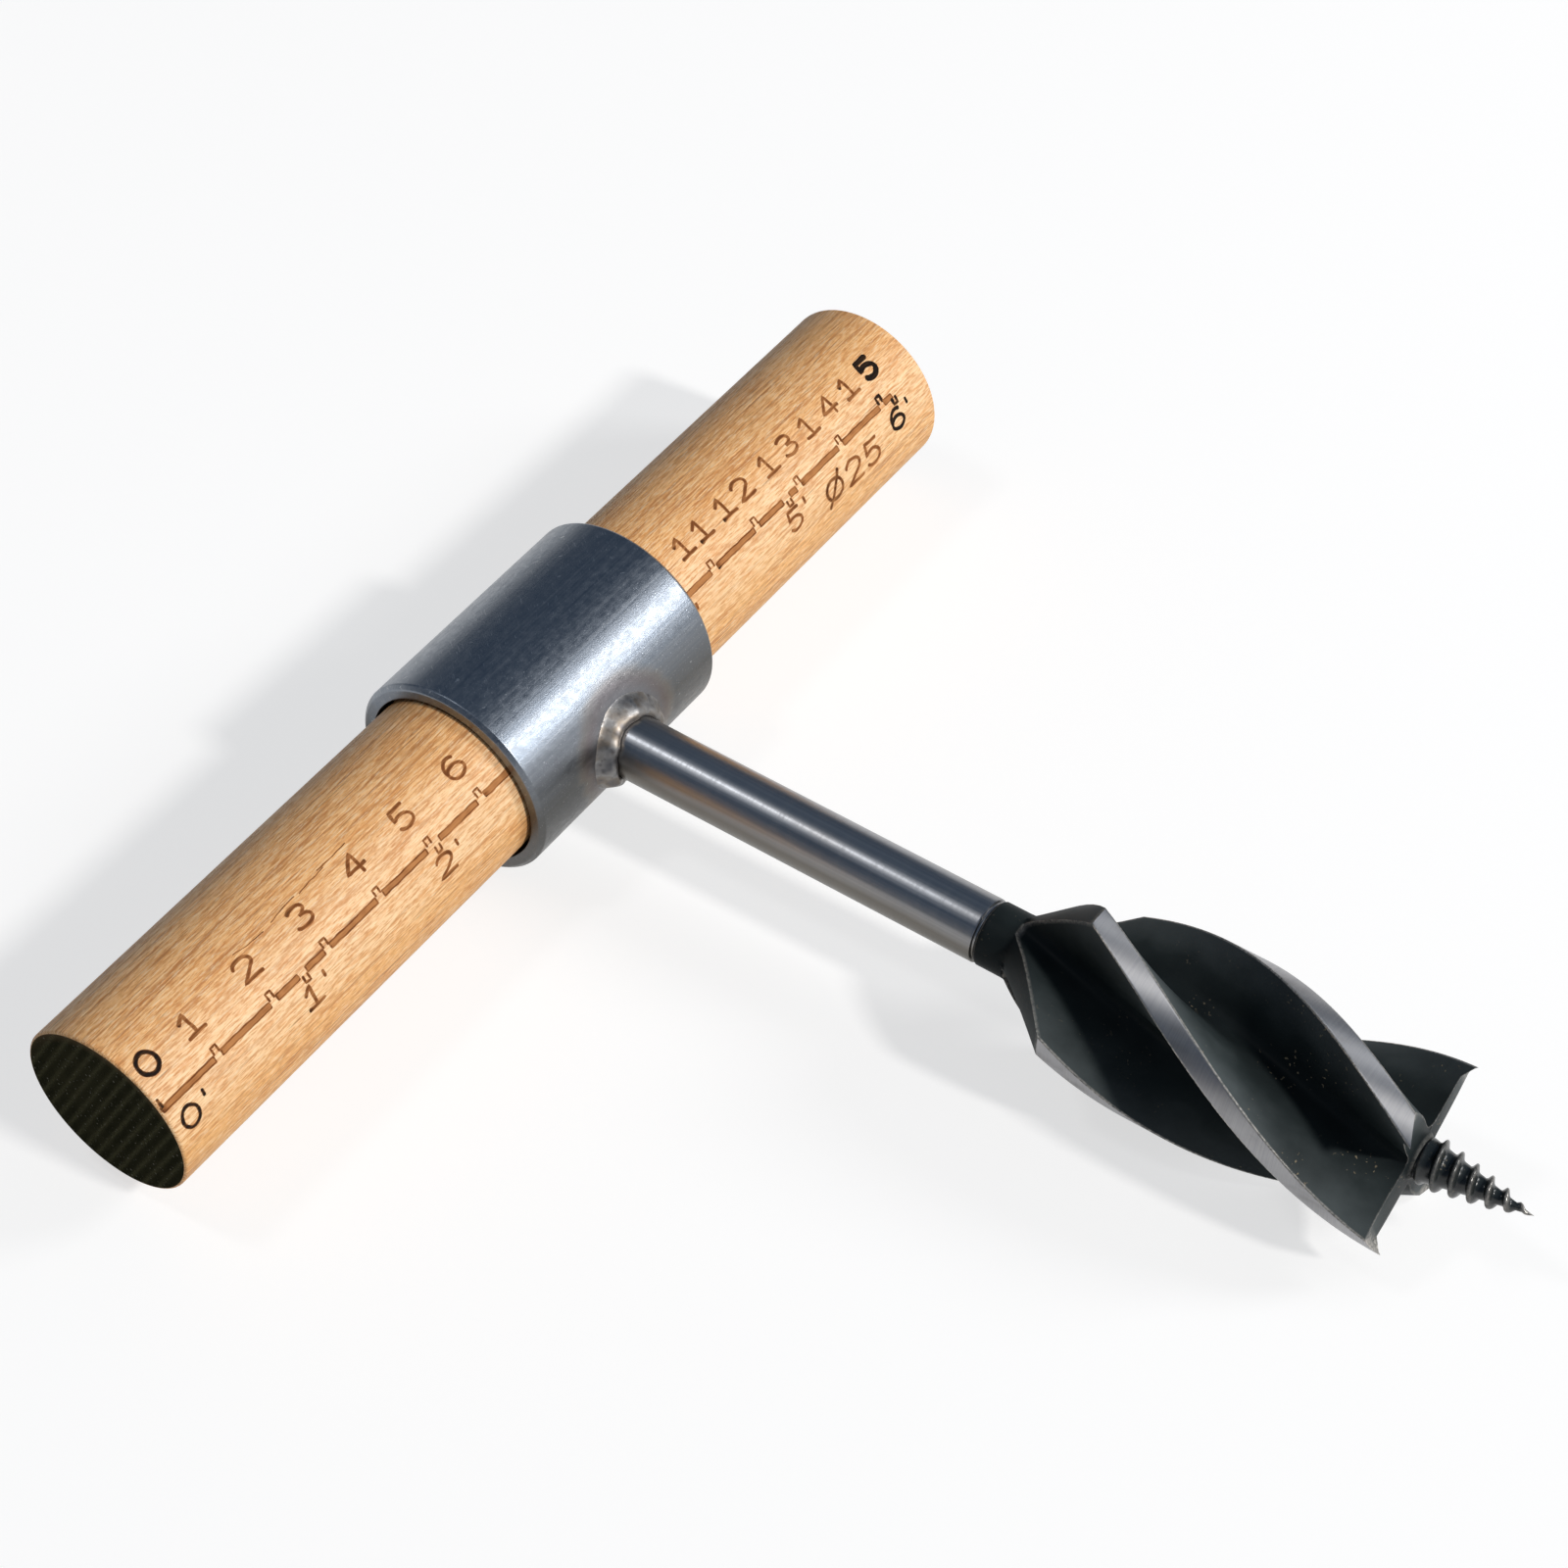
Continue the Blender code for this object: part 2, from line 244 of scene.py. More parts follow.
def oiled_wood():
    """Warm wood with flecks and fibres, painted palest along the scale as sheen from the light, with dark
    grain on either side of it, and painted darker on top as shade.
    """
    s = Shader("oiled_wood")
    bands = s.noise((6, 190, 190), detail=3.0, rough=0.55)
    flecks = s.noise((320, 2400, 2400), detail=3.0, rough=0.6)
    lines = s.noise((95, 2300, 2300), detail=3.0, rough=0.65)
    fibres = s.noise((600, 4800, 4800), detail=3.0, rough=0.65)
    hairs = s.noise((160, 2900, 2900), detail=1.0)
    blush = s.noise((45, 110, 110), detail=2.0)
    axes = s.axes()
    y, z = axes["Y"], axes["Z"]
    # Painted sheen: a band facing the key light is painted paler, and the dark grain lines fade in it
    across = s.math("MULTIPLY", y, -math.sin(SHEEN_TURN) / HANDLE_RADIUS / MM)
    upward = s.math("MULTIPLY", z, math.cos(SHEEN_TURN) / HANDLE_RADIUS / MM)
    pale = s.math("ADD", across, upward)
    aside = s.spread(pale, 0.97, 0.78, 0.55, 1.0)
    tone = s.ramp(
        bands,
        (0.30, (0.89, 0.490, 0.185)),
        (0.50, (0.94, 0.570, 0.250)),
        (0.72, (0.96, 0.645, 0.325)),
    )
    tone = s.mix(s.spread(pale, 0.84, 0.99, 0.0, 0.62), tone, (0.97, 0.705, 0.440))
    # Painted shade: the top is painted darker and redder; below the axis the tone turns a deeper orange
    tone = s.mix(s.spread(z, 0.004, 0.0125, 0.0, 0.55), tone, (0.97, 0.525, 0.215))
    tone = s.mix(s.spread(z, 0.004, -0.003, 0.0, 0.45), tone, (0.95, 0.505, 0.160))
    tone = s.mix(s.spread(flecks, 0.50, 0.64, 0.0, 0.66), tone, (0.76, 0.325, 0.090))
    grained = s.math("MULTIPLY", s.spread(lines, 0.50, 0.63, 0.0, 0.84), aside)
    tone = s.mix(grained, tone, (0.46, 0.170, 0.046))
    tone = s.mix(s.spread(fibres, 0.50, 0.64, 0.0, 0.84), tone, (0.61, 0.255, 0.080))
    tone = s.mix(s.spread(fibres, 0.48, 0.33, 0.0, 0.70), tone, (0.98, 0.75, 0.48))
    tone = s.mix(s.spread(hairs, 0.72, 0.78, 0.0, 0.60), tone, (0.20, 0.105, 0.045))
    tone = s.mix(s.spread(blush, 0.5, 0.75, 0.0, 0.30), tone, (0.72, 0.37, 0.125))
    s.set(Base_Color=tone, Roughness=s.spread(fibres, 0.3, 0.7, 0.46, 0.62), Specular_IOR_Level=0.45)
    grain = s.math("ADD", s.math("MULTIPLY", flecks, 0.4), s.math("MULTIPLY", lines, 0.5))
    grain = s.math("SUBTRACT", s.math("MULTIPLY", grain, -1.0), s.math("ADD", fibres, hairs))
    s.bump(grain, 0.6, 0.00012)
    return s.material


def end_grain():
    """A sawn end painted very dark as shade, with paler growth rings, a few pale specks and a lighter rim
    on top painted as light catching its edge.
    """
    s = Shader("end_grain")
    rings = s.add("ShaderNodeTexWave", wave_type="BANDS", bands_direction="Z")
    s.put(rings.inputs["Vector"], s.stretched((1, 1, 1), (math.radians(122), 0, 0)))
    rings.inputs["Scale"].default_value = 190.0
    rings.inputs["Distortion"].default_value = 4.0
    rings.inputs["Detail"].default_value = 2.0
    rings.inputs["Detail Scale"].default_value = 90.0
    pores = s.noise((3600, 3600, 3600), detail=1.5)
    cloud = s.noise((180, 180, 180), detail=2.0)
    specks = s.noise((2600, 2600, 2600), detail=0.0)
    # Painted shade: these colours are far darker than end grain itself, standing for the shade the end
    # lies in
    tone = s.ramp(
        rings.outputs["Fac"],
        (0.2, (0.040, 0.039, 0.021)),
        (0.75, (0.056, 0.054, 0.029)),
        (1.0, (0.150, 0.140, 0.073)),
    )
    tone = s.mix(s.spread(pores, 0.5, 0.68, 0.0, 0.75), tone, (0.026, 0.024, 0.013))
    tone = s.mix(s.spread(cloud, 0.4, 0.7, 0.0, 0.4), tone, (0.088, 0.080, 0.042))
    axes = s.axes()
    y, z = axes["Y"], axes["Z"]
    # Painted highlight: the rim is painted lighter towards the top, as light catching the edge
    rim = s.spread(s.distance(y, z), *LIT_RIM_OUT, 0.0, 0.7)
    rim = s.math("MULTIPLY", rim, s.spread(z, *LIT_RIM_UP, 0.0, 1.0))
    tone = s.mix(rim, tone, (0.220, 0.155, 0.082))
    tone = s.mix(s.spread(specks, 0.74, 0.80, 0.0, 0.8), tone, (0.36, 0.34, 0.27))
    s.set(Base_Color=tone, Roughness=s.spread(pores, 0.3, 0.7, 0.72, 0.9), Specular_IOR_Level=0.0)
    s.bump(s.math("SUBTRACT", rings.outputs["Fac"], pores), 0.4, 0.00012)
    return s.material


def burnt_mark():
    """Wood burnt as far as the burn attribute says, with grain spared where the burn is light."""
    s = Shader("burnt_mark")
    grain = s.noise((300, 2600, 2600), detail=3.0)
    burn = s.attribute("burn")
    tone = s.ramp(
        burn,
        (0.0, (0.50, 0.220, 0.080)),
        (0.3, (0.240, 0.080, 0.024)),
        (0.6, (0.075, 0.026, 0.009)),
        (1.0, (0.010, 0.007, 0.006)),
    )
    spared = s.spread(grain, 0.46, 0.66, 0.0, 0.60)
    spared = s.math("MULTIPLY", spared, s.spread(burn, 0.5, 1.0, 1.0, 0.1))
    tone = s.mix(spared, tone, (0.54, 0.240, 0.088))
    s.set(Base_Color=tone, Roughness=s.spread(grain, 0.3, 0.7, 0.75, 0.95), Specular_IOR_Level=0.1)
    s.bump(grain, 0.5, 0.0001)
    return s.material


def drawn_steel():
    """Steel with streaks, scratches and nicks, an underside painted dark as the reflection of a dark
    ground, and heat tint round the weld.
    """
    s = Shader("drawn_steel")
    streaks = s.noise((16, 3000, 3000), detail=3.0, rough=0.65)
    broad = s.noise((26, 380, 380), detail=2.0)
    cloud = s.noise((800, 1300, 1300), detail=4.0, rough=0.65)
    satin = s.noise((5200, 5200, 5200), detail=2.0)
    scratches = s.noise((420, 5200, 5200), (0.3, 0.2, 0.9), detail=1.0)
    nicks = s.noise((620, 2300, 2300), (0.1, -0.5, -0.6), detail=0.0)
    scratches = s.spread(scratches, 0.67, 0.73, 0.0, 0.4)
    nicks = s.spread(nicks, 0.83, 0.86, 0.0, 0.7)
    marks = s.math("ADD", scratches, nicks, clamp=True)
    tone = s.ramp(streaks, (0.3, (0.190, 0.215, 0.250)), (0.7, (0.255, 0.275, 0.304)))
    tone = s.mix(s.spread(broad, 0.42, 0.7, 0.0, 0.35), tone, (0.165, 0.194, 0.235))
    x, y, z = s.axes()
    uneven = s.math("SUBTRACT", broad, 0.5)
    # Painted reflection: the underside is painted dark and brownish, as if it mirrored a dark ground
    height = s.math("ADD", z, s.math("MULTIPLY", uneven, 4.0 * MM))
    painted_underside = s.spread(height, *EYE_DARK_REFLECTION, 0.0, DARK_REFLECTION_SHARE)
    tone = s.mix(painted_underside, tone, (0.085, 0.082, 0.074))
    rubbed = s.math("MULTIPLY", marks, s.spread(painted_underside, 0.0, DARK_REFLECTION_SHARE, 1.0, 0.4))
    tone = s.mix(rubbed, tone, (0.56, 0.57, 0.58))
    from_shank = s.math("SUBTRACT", x, SHANK_OFFSET * MM)
    reach = s.math("ADD", s.distance(from_shank, z), s.math("MULTIPLY", uneven, 3.0 * MM))
    heat = s.spread(reach, *HEAT_REACH, 0.0, 1.0)
    shown = s.ramp(heat, (0.0, (0.6, 0.6, 0.6)), (0.6, (0.4, 0.4, 0.4)), (1.0, (0.0, 0.0, 0.0)))
    tint = s.ramp(
        heat,
        (0.0, (0.17, 0.16, 0.165)),
        (0.35, (0.16, 0.115, 0.100)),
        (0.7, (0.22, 0.175, 0.130)),
        (1.0, (0.27, 0.25, 0.22)),
    )
    tone = s.mix(s.math("MULTIPLY", shown, s.math("LESS_THAN", y, HEAT_FACE)), tone, tint)
    rough = s.math("ADD", s.spread(cloud, 0.3, 0.7, 0.30, 0.45), s.spread(streaks, 0.3, 0.7, -0.03, 0.04))
    s.set(Base_Color=tone, Roughness=rough, Metallic=1.0)
    grain = s.math("ADD", streaks, satin)
    s.bump(s.math("SUBTRACT", grain, s.math("MULTIPLY", marks, 0.8)), 0.26, 0.00005)
    return s.material


def ground_bar():
    """The shank's steel has fine lines along and round it, and an underside painted dark as the reflection
    of a dark ground.
    """
    s = Shader("ground_bar")
    lines = s.noise((2600, 2600, 16), detail=3.0)
    rounds = s.noise((160, 160, 5200), detail=2.0)
    smear = s.noise((260, 260, 45), detail=2.0)
    tone = s.ramp(lines, (0.3, (0.285, 0.293, 0.312)), (0.7, (0.365, 0.368, 0.378)))
    tone = s.mix(s.spread(smear, 0.48, 0.75, 0.0, 0.4), tone, (0.235, 0.215, 0.195))
    uneven = s.math("SUBTRACT", smear, 0.5)
    # Painted reflection: the underside is painted dark and brownish, as if it mirrored a dark ground
    height = s.math("ADD", s.axes()["Y"], s.math("MULTIPLY", uneven, 1.2 * MM))
    tone = s.mix(s.spread(height, *SHANK_DARK_REFLECTION, 0.0, DARK_REFLECTION_SHARE), tone, (0.120, 0.108, 0.088))
    rough = s.math("ADD", s.spread(lines, 0.3, 0.7, 0.28, 0.36), s.spread(rounds, 0.45, 0.7, 0.0, 0.05))
    s.set(Base_Color=tone, Roughness=rough, Metallic=1.0)
    s.bump(s.math("ADD", rounds, lines), 0.06, 0.00005)
    return s.material


def weld_metal():
    """The weld is bright in patches and dark where it meets the shank."""
    s = Shader("weld_metal")
    grains = s.noise((1500, 1500, 1500), detail=3.0)
    patches = s.noise((330, 330, 330), detail=2.0)
    tone = s.ramp(
        patches,
        (0.30, (0.090, 0.090, 0.096)),
        (0.46, (0.235, 0.230, 0.225)),
        (0.60, (0.170, 0.145, 0.120)),
        (0.75, (0.100, 0.098, 0.105)),
    )
    tone = s.mix(s.spread(grains, 0.55, 0.72, 0.0, 0.5), tone, (0.075, 0.065, 0.060))
    # The weld is darkened to near black in its last rows before the shank
    tone = s.mix(s.attribute("seam_dark"), tone, (0.02, 0.018, 0.016))
    s.set(Base_Color=tone, Roughness=s.spread(grains, 0.3, 0.7, 0.34, 0.50), Metallic=1.0)
    s.bump(grains, 0.15, 0.0001)
    return s.material


def black_oxide(name, dust, rough_low, gloss):
    """Blackened steel, darker towards the core, partly as oxide left unrubbed in the flutes and partly as
    painted shade in their hollows, rubbed bright where the wear attribute says, with a little wood dust.
    """
    s = Shader(name)
    cloud = s.noise((260, 260, 170), detail=3.0)
    fine = s.noise((2600, 2600, 2600), detail=2.0)
    specks = s.noise((2500, 2500, 2300), detail=0.5)
    patches = s.noise((150, 150, 80), detail=1.0)
    x, y, z = s.axes()
    # Painted shade, partly real: the oxide is darkest near the core, as shade in the flute hollows and as
    # oxide left unrubbed there
    out = s.math("ADD", s.distance(x, y), s.spread(cloud, 0.3, 0.7, -0.0012, 0.0012))
    tone = s.ramp(
        s.spread(out, 0.0035, 0.0125, 0.0, 1.0),
        (0.0, (0.012, 0.016, 0.017)),
        (0.45, (0.024, 0.031, 0.032)),
        (1.0, (0.070, 0.083, 0.086)),
    )
    dusty = s.spread(specks, 0.71, 0.74, 0.0, dust)
    dusty = s.math("MULTIPLY", dusty, s.spread(patches, 0.52, 0.64, 0.0, 1.0))
    dusty = s.math("MULTIPLY", dusty, s.spread(z, 0.090, 0.112, 0.12, 1.0))
    tone = s.mix(dusty, tone, (0.36, 0.29, 0.19))
    rubbed = s.math("MULTIPLY", s.attribute("wear"), s.spread(fine, 0.30, 0.62, 0.25, 1.0), clamp=True)
    tone = s.mix(rubbed, tone, (0.52, 0.49, 0.45))
    rough = s.spread(cloud, 0.3, 0.7, rough_low, rough_low + 0.14)
    rough = s.math("ADD", rough, s.math("MULTIPLY", dusty, 0.4))
    metal = s.math("MULTIPLY", rubbed, 0.95)
    s.set(Base_Color=tone, Roughness=rough, Metallic=metal, Specular_IOR_Level=gloss)
    s.bump(s.math("ADD", fine, s.math("MULTIPLY", dusty, 2.0)), 0.12, 0.00008)
    return s.material


def ground_land():
    """The lands are ground bright round the head, with dark traces left."""
    s = Shader("ground_land")
    rounds = s.noise((160, 160, 7000), detail=2.0)
    patches = s.noise((300, 300, 120), detail=3.0)
    tone = s.ramp(rounds, (0.3, (0.365, 0.365, 0.382)), (0.7, (0.435, 0.432, 0.436)))
    tone = s.mix(s.spread(patches, 0.58, 0.74, 0.0, 0.4), tone, (0.21, 0.20, 0.19))
    around = s.add("ShaderNodeTangent", direction_type="RADIAL", axis="Z").outputs["Tangent"]
    s.set(Base_Color=tone, Roughness=s.spread(patches, 0.3, 0.7, 0.50, 0.62), Metallic=1.0)
    s.set(Anisotropic=0.9, Anisotropic_Rotation=0.25, Tangent=around)
    s.bump(rounds, 0.05, 0.00005)
    return s.material


# Points closer than this are merged, and edges shorter than this are dissolved, in millimetres
MERGE_DISTANCE = 0.0008
SLIVER_LENGTH = 0.0005


class Form:
    """Points in millimetres and faces, gathered from closed shells."""

    def __init__(self):
        self.points = []
        self.values = []
        self.faces = []
        self.slots = []

    def shell(self, rings, closed=False, value=None, pick=None):
        """Faces between neighbouring rings. A ring of one point is a pole."""
        starts = []
        for row, ring in enumerate(rings):
            starts.append(len(self.points))
            self.points += ring
            self.values += [value(row, column) if value else 0.0 for column in range(len(ring))]
        rows = list(range(len(rings)))
        for a, b in zip(rows, rows[1:] + rows[:1] if closed else rows[1:]):
            n, m = len(rings[a]), len(rings[b])
            for i in range(max(n, m)):
                near = [starts[a] + i % n, starts[a] + (i + 1) % n]
                far = [starts[b] + (i + 1) % m, starts[b] + i % m]
                self.face(dict.fromkeys(near + far), pick(a, i) if pick else 0)

    def face(self, corners, slot=0):
        self.faces.append(list(corners))
        self.slots.append(slot)

    def piece(self, name, place, materials, attribute="wear", sharp=40.0):
        bm = bmesh.new()
        layer = bm.verts.layers.float.new(attribute)
        verts = [bm.verts.new((x * MM, y * MM, z * MM)) for x, y, z in self.points]
        for vert, value in zip(verts, self.values):
            vert[layer] = value
        for corners, slot in zip(self.faces, self.slots):
            bm.faces.new([verts[c] for c in corners]).material_index = slot
        bmesh.ops.remove_doubles(bm, verts=bm.verts, dist=MERGE_DISTANCE * MM)
        bmesh.ops.dissolve_degenerate(bm, edges=bm.edges, dist=SLIVER_LENGTH * MM)
        bmesh.ops.recalc_face_normals(bm, faces=bm.faces)
        mesh = bpy.data.meshes.new(name)
        bm.to_mesh(mesh)
        bm.free()
        mesh.shade_smooth()
        mesh.set_sharp_from_angle(angle=math.radians(sharp))
        for material in materials:
            mesh.materials.append(material)
        made = bpy.data.objects.new(name, mesh)
        made.matrix_world = place
        bpy.context.scene.collection.objects.link(made)
        return made


def install(piece, body, slot, *nodes):
    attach(piece, body)
    if nodes:
        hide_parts(*nodes)


def ring_turns(sides):
    return [2 * math.pi * i / sides for i in range(sides)]


def along_x(profile, sides):
    """Rings round the handle's axis from points (x, radius)."""
    rings = []
    for x, r in profile:
        ring = [(x, -r * math.sin(a), r * math.cos(a)) for a in ring_turns(sides)]
        rings.append(ring if r else [(x, 0, 0)])
    return rings


def along_z(profile, sides):
    """Rings round the bit's axis from points (station, radius)."""
    rings = []
    for z, r in profile:
        ring = [(r * math.cos(a), r * math.sin(a), z) for a in ring_turns(sides)]
        rings.append(ring if r else [(0, 0, z)])
    return rings


CORNER_HOLD = 1.7


def softened(profile, size, closed=False):
    """The same outline with each corner rounded, and held by a point on either side of the round."""
    out = []
    last = len(profile) - 1
    for i, corner in enumerate(profile):
        if not closed and i in (0, last):
            out.append(corner)
            continue
        here = Vector(corner)
        back = (Vector(profile[i - 1]) - here).normalized() * size
        on = (Vector(profile[(i + 1) % len(profile)]) - here).normalized() * size
        for move in (back * CORNER_HOLD, back, (back + on) / 4, on, on * CORNER_HOLD):
            out.append(tuple(here + move))
    return out


END_FACE_RADII = (0.0, 4.0, 8.0, 11.0)
ROUNDING_STEPS = 6
HANDLE_ROWS = 20
HANDLE_SIDES = 160
EYE_SIDES = 192
EYE_EDGE = 0.13
SHANK_SIDES = 96
SHANK_EDGE = 0.15
SHANK_OVERLAP = 0.1


def build_handle(side_wood, end_wood):
    half = HANDLE_LENGTH / 2
    end = [(0.0, r) for r in END_FACE_RADII]
    for i in range(ROUNDING_STEPS + 1):
        turn = math.pi / 2 * i / ROUNDING_STEPS
        out = HANDLE_RADIUS - HANDLE_ROUNDING * (1 - math.sin(turn))
        end.append((HANDLE_ROUNDING * (1 - math.cos(turn)), out))
    profile = [(-half + x, r) for x, r in end]
    profile += [(-half + HANDLE_LENGTH * i / HANDLE_ROWS, HANDLE_RADIUS) for i in range(1, HANDLE_ROWS)]
    profile += [(half - x, r) for x, r in reversed(end)]
    flat = len(end) - ROUNDING_STEPS
    last = len(profile) - 1 - flat
    form = Form()
    form.shell(along_x(profile, HANDLE_SIDES), pick=lambda row, i: int(row < flat or row >= last))
    install(form.piece("handle_wood", handle_place, [side_wood, end_wood]), "handle", "wood", "handle")


def build_eye(steel):
    half = EYE_LENGTH / 2
    low, high = EYE_RADIUS - EYE_CHAMFER, half - EYE_CHAMFER
    near_end = [(-half, BORE_RADIUS), (-half, low), (-high, EYE_RADIUS)]
    loop = near_end + [(-x, r) for x, r in reversed(near_end)]
    form = Form()
    form.shell(along_x(softened(loop, EYE_EDGE, closed=True), EYE_SIDES), closed=True)
    install(form.piece("eye_collar", eye_place, [steel]), "tool", "tube_steel", "eye_tube")


def build_shank(steel):
    end = HEAD_START - SEAM_WIDTH
    inner = SHANK_RADIUS - SEAM_DEPTH
    inside_head = HEAD_START + SHANK_OVERLAP
    outline = [(SHANK_SEAT, SHANK_RADIUS), (end, SHANK_RADIUS), (end, inner), (inside_head, inner)]
    profile = [(SHANK_SEAT, 0.0)] + softened(outline, SHANK_EDGE) + [(inside_head, 0.0)]
    form = Form()
    form.shell(along_z(profile, SHANK_SIDES))
    install(form.piece("shank_bar", bit_place, [steel]), "tool", "shank_steel", "shank")


WELD_SIDES = 240
WELD_STEPS = 18
WELD_OVERLAP = 0.1
WELD_CREST = 0.72
WELD_WANDER = 0.3
WELD_POWER = 1.45
WELD_GROOVE = 0.40
WELD_LUMP = 0.22


def build_weld(metal):
    """A rounded bead with slow lumps, which ends in a narrow groove at the shank."""
    sides, steps = WELD_SIDES, WELD_STEPS
    inside = SHANK_RADIUS - WELD_OVERLAP
    crest = WELD_CREST
    sections = []
    for i in range(sides):
        a = 2 * math.pi * i / sides
        around = Vector((math.cos(a), math.sin(a), 0.0))
        toe = WELD_TOE_RADIUS + WELD_WANDER * noise.noise(around * 2.1)
        height = WELD_HEIGHT + WELD_WANDER * noise.noise(around * 2.7 + Vector((0, 0, 5)))
        section = []
        for k in range(steps + 1):
            share = k / steps
            r = toe + (inside - toe) * share
            rise = height * math.sin(math.pi / 2 * min(1.0, share / crest)) ** WELD_POWER
            groove = WELD_GROOVE * max(0.0, (share - crest) / (1 - crest)) ** 2
            bumps = noise.noise(around * 3.4 + Vector((0, 0, share * 1.5)))
            lump = WELD_LUMP * math.sin(math.pi * share) * bumps
            z = math.sqrt(EYE_RADIUS**2 - (r * math.sin(a)) ** 2) - WELD_OVERLAP * (1 - share)
            section.append((r, z + rise - groove + lump))
        foot = math.sqrt(EYE_RADIUS**2 - (inside * math.sin(a)) ** 2)
        section += [(inside, foot - 0.4), (toe - 0.3, foot - 0.9 * math.sin(a) ** 2 - 0.5)]
        sections.append([(r * math.cos(a), r * math.sin(a), z) for r, z in section])

    # How dark the weld's last rows before the shank are
    def seam_dark(row, k):
        return max(0.0, (k - steps + 2) / 2) if k <= steps else 1.0

    form = Form()
    form.shell(sections, closed=True, value=seam_dark)
    install(form.piece("weld_ring", bit_place, [metal], "seam_dark", 60.0), "tool", "weld_metal", "weld_bead")


TRAILING_STEPS = 18
LAND_STEPS = 8
LEADING_STEPS = 12
EDGE_HOLD = 0.3
EDGE_ROUND = 0.14
EDGE_CUT = 0.035
EDGE_WEAR = 1.0
HEEL_WEAR = 0.7


def blade_section():
    """One blade as (angle from its leading edge, radius, wear, on the land), with two rounded corners."""
    depth = HEAD_RADIUS - CORE_RADIUS
    outline = []
    for i in range(TRAILING_STEPS):
        share = i / TRAILING_STEPS
        angle = -LAND_ANGLE - TRAILING_FACE_ANGLE * (1 - share)
        outline.append((angle, CORE_RADIUS + depth * share**TRAILING_FACE_POWER, "flute"))
    outline.append((-LAND_ANGLE, HEAD_RADIUS, "heel"))
    for i in range(1, LAND_STEPS):
        outline.append((-LAND_ANGLE * (1 - i / LAND_STEPS), HEAD_RADIUS, "land"))
    outline.append((0.0, HEAD_RADIUS, "edge"))
    for i in range(1, LEADING_STEPS):
        share = 1 - i / LEADING_STEPS
        angle = LEADING_FACE_ANGLE * (1 - share)
        outline.append((angle, CORE_RADIUS + depth * share**LEADING_FACE_POWER, "flute"))
    flat = [Vector((r * math.cos(a), r * math.sin(a))) for a, r, kind in outline]
    back_turn, on_turn = Matrix.Rotation(-BLADE_ANGLE, 2), Matrix.Rotation(BLADE_ANGLE, 2)
    for _ in range(FILLET_PASSES):
        ring = [back_turn @ flat[-1]] + flat + [on_turn @ flat[0]]
        for i, (angle, radius, kind) in enumerate(outline):
            if kind == "flute" and radius < FILLET_REACH:
                flat[i] = ring[i + 1] * 0.5 + (ring[i] + ring[i + 2]) * 0.25
    section = []
    for i, (angle, radius, kind) in enumerate(outline):
        if kind in ("flute", "land"):
            bearing = math.atan2(flat[i].y, flat[i].x)
            section.append((bearing, flat[i].length, 0.0, kind == "land"))
            continue
        worn = EDGE_WEAR if kind == "edge" else HEEL_WEAR
        back = (flat[i - 1] - flat[i]).normalized()
        on = (flat[i + 1] - flat[i]).normalized()
        corner = (back + on) * EDGE_CUT
        moves = (back * EDGE_HOLD, back * EDGE_ROUND, corner, on * EDGE_ROUND, on * EDGE_HOLD)
        for move, wear in zip(moves, (0.0, worn, worn, worn, 0.0)):
            spot = flat[i] + move
            on_land = move.dot(on) > 0.1 if kind == "heel" else move.dot(back) > 0.1
            section.append((math.atan2(spot.y, spot.x), spot.length, wear, on_land))
    return section


def front_station(angle, radius):
    """The front of a blade falls away behind its lip, and its rim stands forward as a spur."""
    behind = max(0.0, -angle)
    out = (radius - LIP_INNER_RADIUS) / (HEAD_RADIUS - LIP_INNER_RADIUS)
    relief = LIP_RELIEF * HEAD_RADIUS * behind * out
    rim = max(0.0, 1 - (HEAD_RADIUS - radius) / SPUR_THICKNESS)
    spur = SPUR_HEIGHT * rim * max(0.0, 1 - behind / LAND_ANGLE)
    return LIP_STATION - relief + spur


def blank_radius(station):
    share = (station - CONE_START) / CONE_LENGTH
    return SHANK_RADIUS + (HEAD_RADIUS - SHANK_RADIUS) * min(1.0, max(0.0, share))


NECK_ROWS = 2
CONE_ROWS = 22
FLUTE_ROWS = 64
LIP_ROWS = 9
NECK_CUT = 0.1
NECK_ROUND = 0.3
NECK_REACH = 0.45
LIP_BAND = 0.15
NECK_WEAR = 0.3
CONE_WEAR = 0.4
LIP_WEAR = 0.9
BACK_WEAR = 0.35
FOOT_SHARE = 0.45
HUB_WEAR = 0.2


def head_column(angle, radius, worn):
    """One line of points from the neck to the hub, as (radius, station, wear)."""
    column = [(SHANK_RADIUS - NECK_CHAMFER, HEAD_START, 0.0)]
    column.append((SHANK_RADIUS - NECK_CUT, HEAD_START + NECK_ROUND, NECK_WEAR))
    start = HEAD_START + NECK_REACH
    run_out = CONE_START + CONE_LENGTH * max(0.0, radius - SHANK_RADIUS) / (HEAD_RADIUS - SHANK_RADIUS)
    for i in range(CONE_ROWS):
        station = start + (run_out - start) * i / CONE_ROWS
        column.append((blank_radius(station), station, 0.0))
    front = front_station(angle, radius)
    for i in range(FLUTE_ROWS):
        station = run_out + (front - LIP_BAND - run_out) * i / (FLUTE_ROWS - 1)
        column.append((radius, station, worn if i else CONE_WEAR))
    lip = LIP_WEAR if angle > -LAND_ANGLE else BACK_WEAR
    column.append((radius, front, lip))
    foot = max(CORE_RADIUS, min(radius, HEAD_RADIUS - SPUR_THICKNESS))
    for i in range(LIP_ROWS):
        r = foot + (LIP_INNER_RADIUS - foot) * i / (LIP_ROWS - 1)
        column.append((r, front_station(angle, r), FOOT_SHARE * lip if i == 0 else 0.0))
    column.append((HUB_RADIUS, HUB_STATION, HUB_WEAR))
    return column


